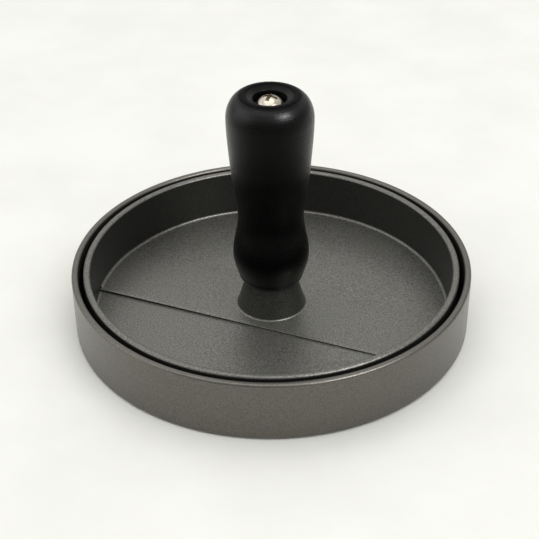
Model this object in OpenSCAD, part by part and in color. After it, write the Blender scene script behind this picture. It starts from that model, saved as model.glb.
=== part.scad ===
// Round patty press: a shallow cast mould, a loose cup-shaped press plate that
// drops into it, and a turned grip held to the plate's boss by one long screw.
// Millimetres, +Z up. The origin is on the axis, on the table under the mould.

/* [Mould] */
// Outside diameter of the mould
mould_d = 125; // [120:1:132]
// Height of the mould's rim above the table
mould_h = 19.7; // [17:0.1:24]
// Thickness of the mould's wall
mould_wall = 2.1; // [1.8:0.1:2.4]
// Thickness of the mould's floor
mould_floor = 1.6; // [1.2:0.1:1.8]
// Rounding of the mould's lower outside edge
mould_foot_r = 1.3; // [0.5:0.1:1.5]

/* [Press plate] */
// Radial gap between the plate and the mould
plate_gap = 1.5; // [0.8:0.1:2]
// Thickness of the plate's rim
plate_wall = 2.2; // [1.8:0.1:2.6]
// Thickness of the plate's floor along its thick band
plate_floor = 2; // [1.8:0.1:2.4]
// Rounding between the plate's floor and its wall
plate_fillet = 1; // [0.6:0.1:1.4]
// Distance of the thick band's front edge from the axis
band_front = 14; // [13:0.1:22]
// Distance of the thick band's back edge from the axis
band_back = 9.4; // [9:0.1:9.8]
// Height of the front step at its tall end
step_tall = 0.95; // [0.6:0.05:1]
// Height of the front step at its low end
step_low = 0.5; // [0.35:0.05:0.6]
// Height of the back step
step_back = 0.2; // [0.1:0.05:0.3]

/* [Boss] */
// Radius of the boss where it meets the plate's floor
boss_foot_r = 10.7; // [10:0.1:11.5]
// Radius of the boss at its top
boss_top_r = 8.1; // [7.8:0.1:8.6]
// Height of the boss's top above the table
boss_top_z = 13.8; // [13.4:0.1:15]

/* [Grip] */
// Height of the grip's top above the table
grip_top_z = 77; // [74:0.2:80]
// Largest radius of the grip, near its top
grip_max_r = 13.1; // [12.5:0.05:13.5]
// Radius of the grip at its waist
grip_waist_r = 10.15; // [9.8:0.05:10.8]
// Radius of the swelling above the grip's lower end
grip_swell_r = 11.9; // [11.4:0.05:12.4]
// Radius of the recess for the screw's head
recess_r = 5.1; // [4.6:0.1:5.4]
// Depth of the shallow dish round the recess
dish_depth = 1.1; // [0.4:0.1:1.4]
// Depth of the recess below the grip's top
recess_depth = 4.1; // [4:0.1:6]

/* [Screw] */
// Thread diameter of the handle screw
screw_d = 4; // [4:1:4]
// Diameter of the screw's head
head_d = 8; // [7.6:0.1:8.2]
// Height of the screw's domed head
head_h = 1.9; // [1.8:0.1:2.1]
// Length of thread in the boss
thread_grip = 8.5; // [6:0.5:9]

/* [Hidden] */
$fn = 96;

mould_r = mould_d / 2;
mould_in_r = mould_r - mould_wall;
rim_round = 0.8;
mould_fillet = 1.2;

plate_r = mould_in_r - plate_gap;
plate_in_r = plate_r - plate_wall;
plate_z = mould_floor;
plate_floor_z = plate_z + plate_floor;
plate_edge_r = 1.6;
boss_fillet = 0.7;

screw_clear = 0.25;
hole_r = screw_d / 2 + screw_clear;
recess_z = grip_top_z - recess_depth;
washer_t = 0.8;
washer_r = 4.5;
spring_t = 1;
spring_r = 3.8;
head_z = recess_z + washer_t + spring_t;
screw_tip_z = boss_top_z - thread_grip;
bore_spare = 0.6;
bore_end_z = screw_tip_z - bore_spare;
tiny = 0.01;

// Points along an arc about c, from angle a to angle b, in n steps
function arc(c, r, a, b, n = 8) =
    [for (i = [0:n]) c + r * [cos(a + (b - a) * i / n), sin(a + (b - a) * i / n)]];

// Smooth curve from knot p to knot q, without its first point; a knot is [radius, height, slope]
function run(p, q, n = 8) =
    [for (i = [1:n]) let (t = i / n, h = q[1] - p[1]) [
        p[0] * (1 + 2 * t) * pow(1 - t, 2) + p[2] * h * t * pow(1 - t, 2)
            + q[0] * t * t * (3 - 2 * t) - q[2] * h * t * t * (1 - t),
        p[1] + h * t
    ]];

module turned(points) {
    rotate_extrude() polygon(points);
}

// Shallow round pan with a rounded foot, rounded rim and a small fillet inside
module mould() {
    color([0.40, 0.40, 0.38])
        turned(concat(
            [[0, 0]],
            arc([mould_r - mould_foot_r, mould_foot_r], mould_foot_r, -90, 0),
            arc([mould_r - rim_round, mould_h - rim_round], rim_round, 0, 90),
            arc([mould_in_r + rim_round, mould_h - rim_round], rim_round, 90, 180),
            arc([mould_in_r - mould_fillet, mould_floor + mould_fillet], mould_fillet, 0, -90),
            [[0, mould_floor]]
        ));
}

// The cup alone: rim, wall, and a floor at the band's height
module cup() {
    turned(concat(
        [[0, plate_z]],
        arc([plate_r - plate_edge_r, plate_z + plate_edge_r], plate_edge_r, -90, 0),
        arc([plate_r - rim_round, mould_h - rim_round], rim_round, 0, 90),
        arc([plate_in_r + rim_round, mould_h - rim_round], rim_round, 90, 180),
        arc([plate_in_r - plate_fillet, plate_floor_z + plate_fillet], plate_fillet, 0, -90),
        [[0, plate_floor_z]]
    ));
}

// Conical boss with a small fillet at its foot, reaching down through the floor
module boss() {
    lean = atan2(boss_foot_r - boss_top_r, boss_top_z - plate_floor_z);
    turned(concat(
        [[0, plate_z], [boss_foot_r + boss_fillet, plate_z]],
        arc([boss_foot_r + boss_fillet, plate_floor_z + boss_fillet], boss_fillet, 270, 180 + lean),
        [[boss_top_r, boss_top_z], [0, boss_top_z]]
    ));
}

// Room inside the cup above a floor at low_z, with the floor's fillet round its foot
module room(low_z) {
    top_z = low_z + mould_h / 4;
    turned(concat(
        [[0, low_z]],
        arc([plate_in_r - plate_fillet, low_z + plate_fillet], plate_fillet, -90, 0),
        [[plate_in_r, top_z], [0, top_z]]
    ));
}

// Front segment of the floor: the cutter slopes, so the step is taller at one end. Its section
// has a small fillet at the step's foot and a soft bevel along the step's top edge.
module front_cut() {
    slope = atan2(step_tall - step_low, 2 * plate_in_r);
    mean_step = (step_tall + step_low) / 2;
    foot_r = 0.12;
    bevel_w = 0.9;
    bevel_drop = 0.14;
    above = mould_h / 4;
    intersection() {
        room(plate_floor_z - step_tall);
        translate([0, -band_front, plate_floor_z])
            rotate([0, -slope, 0])
                rotate([90, 0, 90])
                    translate([0, 0, -mould_r])
                        linear_extrude(mould_d)
                            polygon(concat(
                                [[-mould_r, above], [-mould_r, -mean_step]],
                                arc([-foot_r, -mean_step + foot_r], foot_r, -90, 0, 4),
                                [[0, above]]
                            ));
    }
    intersection() {
        room(plate_floor_z - step_tall);
        translate([-mould_r, -band_front + bevel_w, plate_floor_z])
            rotate([atan2(bevel_drop, bevel_w), 0, 0])
                translate([0, -bevel_w - 1, 0])
                    cube([mould_d, bevel_w + 1, above]);
    }
}

// Back segment of the floor, a little lower than the band
module back_cut() {
    intersection() {
        room(plate_floor_z - step_back);
        translate([-mould_r, band_back, 0])
            cube([mould_d, mould_r, mould_h]);
    }
}

// Loose cup that presses the patty, cast in one with the boss that carries the grip
module press_plate() {
    color([0.42, 0.42, 0.40])
        difference() {
            union() {
                difference() {
                    cup();
                    front_cut();
                    back_cut();
                }
                boss();
            }
            translate([0, 0, bore_end_z])
                cylinder(d = screw_d, h = boss_top_z);
        }
}

// Turned grip: rounded lower end, swelling, waist, full shoulder, and a dish round the recess
module grip() {
    low_r = 8.1;
    low_z = boss_top_z;
    low_round = 2.2;
    skirt = [low_r + low_round, low_z + low_round, 0.3];
    swell = [grip_swell_r, 23.2, 0];
    waist = [grip_waist_r, 36.2, 0];
    upper = [12.2, 54.5, 0.075];
    full = [grip_max_r, 69.6, 0];
    top_r = 7.9;
    color([0.07, 0.07, 0.07])
        difference() {
            turned(concat(
                [[0, low_z]],
                arc([low_r, low_z + low_round], low_round, -90, 0),
                run(skirt, swell),
                run(swell, waist, 12),
                run(waist, upper, 12),
                run(upper, full, 8),
                [for (i = [1:12]) [
                    top_r + (grip_max_r - top_r) * cos(90 * i / 12),
                    full[1] + (grip_top_z - full[1]) * sin(90 * i / 12)
                ]],
                [for (i = [1:6]) [
                    top_r + (recess_r - top_r) * i / 6,
                    grip_top_z - dish_depth * pow(i / 6, 1.5)
                ]],
                [[0, grip_top_z - dish_depth]]
            ));
            translate([0, 0, low_z - 1])
                cylinder(r = hole_r, h = grip_top_z);
            translate([0, 0, recess_z])
                cylinder(r = recess_r, h = grip_top_z);
        }
}

// Long pan-head screw with a cross recess
module handle_screw() {
    dome_r = (pow(head_d / 2, 2) + pow(head_h, 2)) / (2 * head_h);
    cross_w = 1.1;
    cross_l = 4.6;
    cross_drop = 1.5;
    color([0.72, 0.70, 0.66])
        difference() {
            union() {
                translate([0, 0, screw_tip_z])
                    cylinder(d = screw_d, h = head_z - screw_tip_z + tiny);
                intersection() {
                    translate([0, 0, head_z + head_h - dome_r])
                        sphere(r = dome_r);
                    translate([0, 0, head_z])
                        cylinder(d = head_d, h = head_h);
                }
            }
            for (a = [0, 90])
                translate([0, 0, head_z + head_h])
                    rotate([0, 0, a])
                        cube([cross_l, cross_w, 2 * cross_drop], center = true);
        }
}

// Flat ring on the recess's floor, under the spring washer
module plain_washer() {
    color([0.70, 0.70, 0.68])
        translate([0, 0, recess_z])
            difference() {
                cylinder(r = washer_r, h = washer_t);
                translate([0, 0, -1])
                    cylinder(r = hole_r, h = washer_t + 2);
            }
}

// Split ring under the screw's head, flattened by the tight screw
module spring_washer() {
    split_w = 0.6;
    color([0.60, 0.60, 0.58])
        translate([0, 0, recess_z + washer_t])
            difference() {
                cylinder(r = spring_r, h = spring_t);
                translate([0, 0, -1])
                    cylinder(r = hole_r, h = spring_t + 2);
                translate([0, -split_w / 2, -1])
                    cube([spring_r + 1, split_w, spring_t + 2]);
            }
}

mould();
press_plate();
grip();
handle_screw();
plain_washer();
spring_washer();
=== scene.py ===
"""A patty press on a pale table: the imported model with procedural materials, soft light and the camera."""
import math

import bpy
from mathutils import Matrix, Vector


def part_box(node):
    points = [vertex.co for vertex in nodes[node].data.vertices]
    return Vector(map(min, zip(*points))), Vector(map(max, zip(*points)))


MM = 0.001
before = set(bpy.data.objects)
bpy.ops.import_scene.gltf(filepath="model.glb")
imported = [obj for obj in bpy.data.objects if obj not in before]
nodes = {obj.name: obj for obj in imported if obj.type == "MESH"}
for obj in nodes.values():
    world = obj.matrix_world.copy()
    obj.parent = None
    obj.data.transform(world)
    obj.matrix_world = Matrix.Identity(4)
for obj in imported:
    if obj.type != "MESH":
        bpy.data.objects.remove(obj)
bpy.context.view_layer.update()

mould_low, mould_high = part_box("mould")
MOULD_R = (mould_high.x - mould_low.x) / 2

# The camera's place in mould radii, its angles in degrees and its lens in millimetres
CAMERA_AZIMUTH = 22.4
CAMERA_REACH = 5.214
CAMERA_HEIGHT = 3.780
CAMERA_ASIDE = -0.009
CAMERA_DOWN = 34.06
CAMERA_ROLL = -0.55
LENS = 83.0
SENSOR = 36.0

# Half the table's side, and the height that the lights look at, in metres
TABLE_HALF = 3.0
LIGHT_AIM_Z = 0.03

# Where the studio is brightest, in degrees to the left of straight behind the press, as the camera sees it
BRIGHT_SIDE = 35

# How much of a casting's tint is left in painted shade, in creases and on steep walls, and how far edges are
# lightened as a painted highlight
PAINTED_SHADE_SHARE = 0.12
EDGE_HIGHLIGHT_GAIN = 2.6

# A casting's faint patches: how wide they are, in metres, and how they turn its tint slightly green
PATCH_SIZE = 14 * MM
GREENISH = (1.0, 1.02, 0.93)

# The flakes that vary a casting's gloss, as a share of its speckle's size
FLAKE_SHARE = 0.45

# Samples of each Bevel and Ambient Occlusion node
NODE_SAMPLES = 6

# Places of the colour sockets in a Mix node, which has sockets of the same names for its other types
MIX_FIRST, MIX_SECOND, MIX_RESULT = 6, 7, 2


# ---------------------------------------------------------------- node helpers

def new_material(name):
    """An empty node material with a Principled surface: (material, its nodes, its links, the shader)."""
    material = bpy.data.materials.new(name)
    material.use_nodes = True
    tree = material.node_tree
    shader = next(n for n in tree.nodes if n.type == "BSDF_PRINCIPLED")
    return material, tree.nodes, tree.links, shader


def place(tree_nodes):
    """Object coordinates in metres."""
    return tree_nodes.new("ShaderNodeTexCoord").outputs["Object"]


def noise(tree_nodes, links, vector, size, detail=3.0, rough=0.55):
    """Noise whose lumps are about size metres wide; its factor output."""
    texture = tree_nodes.new("ShaderNodeTexNoise")
    texture.inputs["Scale"].default_value = 1 / size
    texture.inputs["Detail"].default_value = detail
    texture.inputs["Roughness"].default_value = rough
    links.new(vector, texture.inputs["Vector"])
    return texture.outputs["Fac"]


def remap(tree_nodes, links, value, low, high, to_low, to_high):
    """value, taken from low..high to to_low..to_high and clamped."""
    node = tree_nodes.new("ShaderNodeMapRange")
    node.inputs["From Min"].default_value = low
    node.inputs["From Max"].default_value = high
    node.inputs["To Min"].default_value = to_low
    node.inputs["To Max"].default_value = to_high
    links.new(value, node.inputs["Value"])
    return node.outputs["Result"]


def multiply(tree_nodes, links, first, second):
    """The product of two values."""
    node = tree_nodes.new("ShaderNodeMath")
    node.operation = "MULTIPLY"
    links.new(first, node.inputs[0])
    links.new(second, node.inputs[1])
    return node.outputs["Value"]


def scaled(tint, share):
    """A colour, each of its values times share."""
    return tuple(c * share for c in tint)


def mix_colour(tree_nodes, links, factor, first, second):
    """Two colours or colour outputs, mixed by a factor output."""
    node = tree_nodes.new("ShaderNodeMix")
    node.data_type = "RGBA"
    links.new(factor, node.inputs["Factor"])
    for socket, value in ((node.inputs[MIX_FIRST], first), (node.inputs[MIX_SECOND], second)):
        if isinstance(value, tuple):
            socket.default_value = (*value, 1)
        else:
            links.new(value, socket)
    return node.outputs[MIX_RESULT]


def rounded_normal(tree_nodes, radius):
    """The surface's normal with its edges rounded by radius."""
    bevel = tree_nodes.new("ShaderNodeBevel")
    bevel.samples = NODE_SAMPLES
    bevel.inputs["Radius"].default_value = radius
    return bevel.outputs["Normal"]


def edge_mask(tree_nodes, links, radius, gain):
    """About 1 along sharp edges and 0 elsewhere, from how a rounded normal leaves the true one.

    A larger gain takes in softer edges too.
    """
    geometry = tree_nodes.new("ShaderNodeNewGeometry")
    dot = tree_nodes.new("ShaderNodeVectorMath")
    dot.operation = "DOT_PRODUCT"
    links.new(rounded_normal(tree_nodes, radius), dot.inputs[0])
    links.new(geometry.outputs["Normal"], dot.inputs[1])
    return remap(tree_nodes, links, dot.outputs["Value"], 1.0, 1.0 - 1.0 / gain, 0.0, 1.0)


def facing_up(tree_nodes, links):
    """How far the surface faces up: 1 on top, 0 on an upright wall, -1 underneath."""
    geometry = tree_nodes.new("ShaderNodeNewGeometry")
    split = tree_nodes.new("ShaderNodeSeparateXYZ")
    links.new(geometry.outputs["Normal"], split.inputs[0])
    return split.outputs["Z"]


def bump(tree_nodes, links, heights, radius):
    """A chain of bumps over a rounded normal. heights is a list of (factor output, depth in metres)."""
    normal = rounded_normal(tree_nodes, radius)
    for value, depth in heights:
        node = tree_nodes.new("ShaderNodeBump")
        node.inputs["Strength"].default_value = 1.0
        node.inputs["Distance"].default_value = depth
        links.new(value, node.inputs["Height"])
        links.new(normal, node.inputs["Normal"])
        normal = node.outputs["Normal"]
    return normal


# ------------------------------------------------------------------- materials

def cast_coating(name, tint, metallic, contrast, speckle_size, speckle_depth, rough, coat, wall_shade):
    """Dark grey coating over a casting: fine speckle, faint patches, painted shade in creases and on steep
    faces, painted highlight along edges.

    metallic is how metallic the coating is, contrast how much its speckle varies, speckle_size and
    speckle_depth are in metres, rough is the middle roughness, coat a clear top coat's weight, and the
    wall shade is how far steep and downward faces are darkened, as painted shade.
    """
    material, tree_nodes, links, shader = new_material(name)
    vector = place(tree_nodes)
    speckle = noise(tree_nodes, links, vector, speckle_size, detail=4.0, rough=0.7)
    flake = noise(tree_nodes, links, vector, FLAKE_SHARE * speckle_size, detail=1.0)
    patch = noise(tree_nodes, links, vector, PATCH_SIZE)

    darker = scaled(tint, 1 - contrast)
    lighter = scaled(tint, 1 + 1.1 * contrast)
    spots = remap(tree_nodes, links, speckle, 0.30, 0.70, 0.0, 1.0)
    colour = mix_colour(tree_nodes, links, spots, darker, lighter)

    green = tuple(c * k for c, k in zip(tint, GREENISH))
    tinted = remap(tree_nodes, links, patch, 0.45, 0.68, 0.0, 0.35)
    colour = mix_colour(tree_nodes, links, tinted, colour, green)

    # Painted highlight: sharp edges are lightened
    edges = edge_mask(tree_nodes, links, 0.35 * MM, 3.0)
    edge_highlight = remap(tree_nodes, links, edges, 0.0, 1.0, 0.0, 0.55)
    colour = mix_colour(tree_nodes, links, edge_highlight, colour, scaled(tint, EDGE_HIGHLIGHT_GAIN))

    # Painted shade: creases are darkened by ambient occlusion
    crease = tree_nodes.new("ShaderNodeAmbientOcclusion")
    crease.samples = NODE_SAMPLES
    crease.inputs["Distance"].default_value = 0.6 * MM
    open_part = remap(tree_nodes, links, crease.outputs["AO"], 0.55, 0.82, 0.0, 1.0)
    colour = mix_colour(tree_nodes, links, open_part, scaled(tint, PAINTED_SHADE_SHARE), colour)

    # Painted shade: steep and downward faces are darkened
    steep = remap(tree_nodes, links, facing_up(tree_nodes, links), 0.1, 0.6, wall_shade, 0.0)
    colour = mix_colour(tree_nodes, links, steep, colour, scaled(tint, PAINTED_SHADE_SHARE))

    links.new(colour, shader.inputs["Base Color"])
    shader.inputs["Metallic"].default_value = metallic
    shader.inputs["Coat Weight"].default_value = coat
    shader.inputs["Coat Roughness"].default_value = 0.35
    gloss = remap(tree_nodes, links, flake, 0.3, 0.7, rough - 0.07, rough + 0.07)
    links.new(gloss, shader.inputs["Roughness"])
    heights = [(patch, 0.03 * MM), (speckle, speckle_depth)]
    links.new(bump(tree_nodes, links, heights, 0.25 * MM), shader.inputs["Normal"])
    return material


def black_grip(name):
    """Black lacquer with a soft orange peel and a little dust; its reflection is raised on the shoulder as a
    painted sheen and lowered on top as painted shade.
    """
    material, tree_nodes, links, shader = new_material(name)
    vector = place(tree_nodes)
    cloud = noise(tree_nodes, links, vector, 5 * MM)
    peel = noise(tree_nodes, links, vector, 1.1 * MM, detail=2.0)
    dust = noise(tree_nodes, links, vector, 0.3 * MM, detail=2.0)

    shade = remap(tree_nodes, links, cloud, 0.35, 0.7, 0.0, 1.0)
    black = (0.0010, 0.0010, 0.0010)
    faded = (0.0022, 0.0021, 0.0021)
    links.new(mix_colour(tree_nodes, links, shade, black, faded), shader.inputs["Base Color"])
    links.new(remap(tree_nodes, links, dust, 0.3, 0.7, 0.26, 0.40), shader.inputs["Roughness"])

    # Painted sheen and shade: specular tint raised on the shoulder where the highlight falls, specular level
    # lowered on the top
    up = facing_up(tree_nodes, links)
    above_side = remap(tree_nodes, links, up, 0.20, 0.50, 0.0, 1.0)
    below_top = remap(tree_nodes, links, up, 0.74, 0.90, 1.0, 0.0)
    shoulder = multiply(tree_nodes, links, above_side, below_top)
    dim = (0.14, 0.14, 0.14)
    sheen_tint = (0.62, 0.62, 0.62)
    shader.inputs["IOR"].default_value = 1.50
    links.new(mix_colour(tree_nodes, links, shoulder, dim, sheen_tint), shader.inputs["Specular Tint"])
    links.new(remap(tree_nodes, links, up, 0.86, 0.96, 0.5, 0.04), shader.inputs["Specular IOR Level"])

    heights = [(peel, 0.05 * MM), (dust, 0.006 * MM)]
    links.new(bump(tree_nodes, links, heights, 0.4 * MM), shader.inputs["Normal"])
    return material


def plated_steel(name, tint, rough, cloud_depth):
    """Plated steel, faintly clouded. cloud_depth is how deep the clouds' unevenness is, in metres."""
    material, tree_nodes, links, shader = new_material(name)
    vector = place(tree_nodes)
    fine = noise(tree_nodes, links, vector, 0.35 * MM)
    cloud = noise(tree_nodes, links, vector, 1.6 * MM, detail=2.0)
    shade = remap(tree_nodes, links, cloud, 0.35, 0.65, 0.0, 1.0)
    colour = mix_colour(tree_nodes, links, shade, scaled(tint, 0.82), tint)
    links.new(colour, shader.inputs["Base Color"])
    shader.inputs["Metallic"].default_value = 1.0
    gloss = remap(tree_nodes, links, fine, 0.3, 0.7, rough - 0.05, rough + 0.08)
    links.new(gloss, shader.inputs["Roughness"])
    links.new(bump(tree_nodes, links, [(cloud, cloud_depth)], 0.12 * MM), shader.inputs["Normal"])
    return material


def table_top(name):
    """Pale table with a very faint mottling."""
    material, tree_nodes, links, shader = new_material(name)
    cloud = noise(tree_nodes, links, place(tree_nodes), 45 * MM, detail=4.0)
    shade = remap(tree_nodes, links, cloud, 0.35, 0.65, 0.0, 1.0)
    colour = mix_colour(tree_nodes, links, shade, (0.865, 0.870, 0.820), (0.915, 0.917, 0.875))
    links.new(colour, shader.inputs["Base Color"])
    shader.inputs["Roughness"].default_value = 0.75
    shader.inputs["Specular IOR Level"].default_value = 0.25
    return material


def paint(node, material):
    """Gives a CAD node one material in all its slots."""
    slots = nodes[node].material_slots
    if not slots:
        nodes[node].data.materials.append(material)
    for slot in slots:
        slot.material = material


paint("mould", cast_coating(
    "mould_coating", tint=(0.124, 0.116, 0.102), metallic=0.9, contrast=0.38,
    speckle_size=0.45 * MM, speckle_depth=0.004 * MM, rough=0.40, coat=0.42, wall_shade=0.0))
paint("press_plate", cast_coating(
    "plate_coating", tint=(0.154, 0.152, 0.140), metallic=0.66, contrast=0.72,
    speckle_size=0.46 * MM, speckle_depth=0.024 * MM, rough=0.40, coat=0.0, wall_shade=0.82))
paint("grip", black_grip("grip_black"))
paint("handle_screw", plated_steel(
    "screw_nickel", tint=(0.62, 0.57, 0.48), rough=0.18, cloud_depth=0.060 * MM))
paint("plain_washer", plated_steel(
    "washer_zinc", tint=(0.55, 0.54, 0.52), rough=0.30, cloud_depth=0.010 * MM))
paint("spring_washer", plated_steel(
    "spring_zinc", tint=(0.42, 0.41, 0.40), rough=0.34, cloud_depth=0.010 * MM))


# ----------------------------------------------------------------------- stage

def table(half):
    """A large flat table at the foot of the press, from -half to half each way."""
    corners = [(-half, -half, 0), (half, -half, 0), (half, half, 0), (-half, half, 0)]
    mesh = bpy.data.meshes.new("table")
    mesh.from_pydata(corners, [], [(0, 1, 2, 3)])
    top = bpy.data.objects.new("table", mesh)
    bpy.context.scene.collection.objects.link(top)
    mesh.materials.append(table_top("table_top"))


def soft_box(name, azimuth, elevation, distance, size, watts, diffuse=True, gloss=True):
    a, e = math.radians(azimuth), math.radians(elevation)
    away = Vector((math.sin(a) * math.cos(e), -math.cos(a) * math.cos(e), math.sin(e)))
    light = bpy.data.lights.new(name, "AREA")
    light.shape = "DISK"
    light.size = size
    light.energy = watts
    lamp = bpy.data.objects.new(name, light)
    lamp.location = away * distance + Vector((0, 0, LIGHT_AIM_Z))
    lamp.rotation_mode = "QUATERNION"
    lamp.rotation_quaternion = away.to_track_quat("Z", "Y")
    lamp.visible_diffuse = diffuse
    lamp.visible_glossy = gloss
    bpy.context.scene.collection.objects.link(lamp)


def sky(front, back):
    """Pale light, dim near the horizon: front is its strength on the dark side, back on the bright side."""
    world = bpy.data.worlds.new("studio")
    world.use_nodes = True
    tree_nodes, links = world.node_tree.nodes, world.node_tree.links
    direction = tree_nodes.new("ShaderNodeTexCoord").outputs["Generated"]
    a = math.radians(CAMERA_AZIMUTH + BRIGHT_SIDE)
    dot = tree_nodes.new("ShaderNodeVectorMath")
    dot.operation = "DOT_PRODUCT"
    dot.inputs[1].default_value = (-math.sin(a), math.cos(a), 0)
    links.new(direction, dot.inputs[0])
    split = tree_nodes.new("ShaderNodeSeparateXYZ")
    links.new(direction, split.inputs[0])
    side = remap(tree_nodes, links, dot.outputs["Value"], -0.6, 0.6, front, back)
    height = remap(tree_nodes, links, split.outputs["Z"], 0.20, 0.60, 0.40, 1.0)
    background = tree_nodes["Background"]
    background.inputs["Color"].default_value = (1.0, 0.998, 0.980, 1)
    links.new(multiply(tree_nodes, links, side, height), background.inputs["Strength"])
    bpy.context.scene.world = world


table(TABLE_HALF)
sky(front=0.42, back=1.12)
soft_box(
    "overhead", azimuth=CAMERA_AZIMUTH - 150, elevation=84, distance=1.2, size=1.2, watts=3.7)
soft_box(
    "front_right_fill", azimuth=CAMERA_AZIMUTH + 40, elevation=50, distance=2.0, size=1.6, watts=12.0,
    gloss=False)
soft_box(
    "front_right_sheen", azimuth=CAMERA_AZIMUTH + 50, elevation=48, distance=0.9, size=0.36, watts=5.4,
    diffuse=False)
soft_box(
    "left_sheen", azimuth=CAMERA_AZIMUTH - 85, elevation=20, distance=0.9, size=0.9, watts=1.4,
    diffuse=False)


# ---------------------------------------------------------------------- camera

def camera():
    """The camera: about 0.4 m away, looking down at the press."""
    reach = CAMERA_REACH * MOULD_R
    height = CAMERA_HEIGHT * MOULD_R
    aside = CAMERA_ASIDE * MOULD_R
    down = math.radians(CAMERA_DOWN)
    roll = math.radians(CAMERA_ROLL)
    a = math.radians(CAMERA_AZIMUTH)
    ahead = Vector((-math.sin(a), math.cos(a), 0))
    right = Vector((math.cos(a), math.sin(a), 0))
    forward = ahead * math.cos(down) - Vector((0, 0, math.sin(down)))
    up = right.cross(forward)
    rolled_right = right * math.cos(roll) + up * math.sin(roll)
    rolled_up = up * math.cos(roll) - right * math.sin(roll)
    position = right * aside - ahead * reach + Vector((0, 0, height))
    data = bpy.data.cameras.new("camera")
    data.lens = LENS
    data.sensor_width = SENSOR
    eye = bpy.data.objects.new("camera", data)
    turn = Matrix((rolled_right, rolled_up, -forward)).transposed()
    eye.matrix_world = Matrix.Translation(position) @ turn.to_4x4()
    bpy.context.scene.collection.objects.link(eye)
    bpy.context.scene.camera = eye


camera()
bpy.context.scene.view_settings.view_transform = "Standard"
